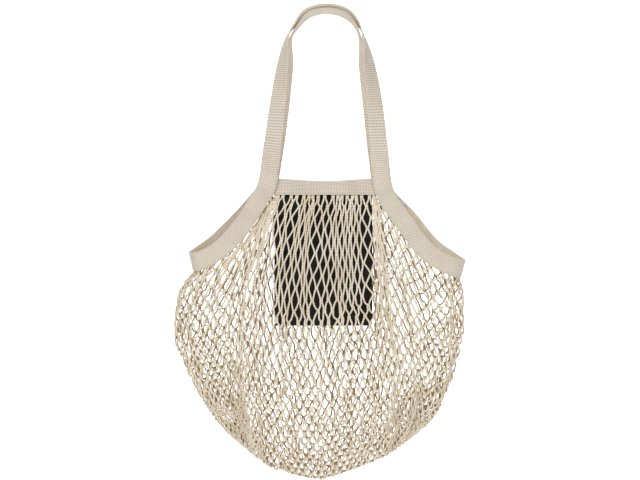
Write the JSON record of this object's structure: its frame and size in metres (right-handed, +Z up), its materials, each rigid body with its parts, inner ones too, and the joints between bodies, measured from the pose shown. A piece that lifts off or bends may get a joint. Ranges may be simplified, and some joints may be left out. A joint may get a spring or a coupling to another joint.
{
  "type": "string shopping bag",
  "caption": "Knitted cotton net shopping bag with long webbing shoulder handles, webbing-bound side mouths and a flat zipped pouch inside for packing it away.",
  "frame": {"origin": "the point under the crown of the two nested handles where the bag hangs", "axes": "+X to the right seen from the front, +Y to the back, +Z up"},
  "size_m": [0.3935, 0.1192, 0.6379],
  "materials": {
    "webbing": "undyed cotton webbing in a basket weave",
    "yarn": "undyed cotton yarn, matt",
    "black_cloth": "plain black lining cloth",
    "zip": "black woven zip tape and nylon coil",
    "zip_metal": "black lacquer"
  },
  "bodies": {
    "bag": {"webbing_loop": "webbing", "front_band": "webbing", "back_band": "webbing", "net_front": "yarn", "net_back": "yarn", "pouch": "black_cloth", "zip_tape": "zip", "zip_slider": "zip_metal"},
    "puller": {"zip_puller": "zip_metal"}
  },
  "joints": [
    {"name": "puller_hinge", "type": "hinge", "parent": "bag", "child": "puller", "pos_m": [-0.048, -0.00432, -0.2665], "axis": [0.2588, 0, 0.9659], "range_deg": [0, 170]}
  ]
}
